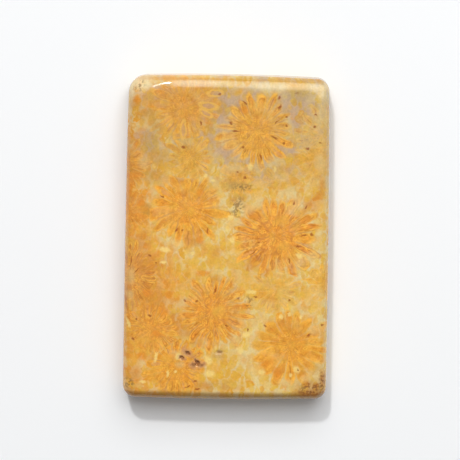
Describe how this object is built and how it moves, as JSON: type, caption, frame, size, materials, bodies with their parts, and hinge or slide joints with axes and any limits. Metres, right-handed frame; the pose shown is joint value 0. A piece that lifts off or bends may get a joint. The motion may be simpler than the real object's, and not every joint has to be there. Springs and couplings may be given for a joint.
{
  "type": "polished fossil coral slice",
  "caption": "Small rectangular slab of polished fossil coral with a rounded rim, its face patterned with flower-like coral sections.",
  "frame": {"origin": "middle of the flat back, centred on the slab's box", "axes": "+X across the slab, +Y along its length towards the narrower end, +Z out of the polished front face"},
  "size_m": [0.0258, 0.041, 0.0048],
  "materials": {
    "polished_coral": "polished agatized coral: orange and golden flower-like corallites in a cream, yellow and mauve-grey ground, with a glassy polish all over"
  },
  "bodies": {
    "root": {"coral_slice": "polished_coral"}
  },
  "joints": []
}
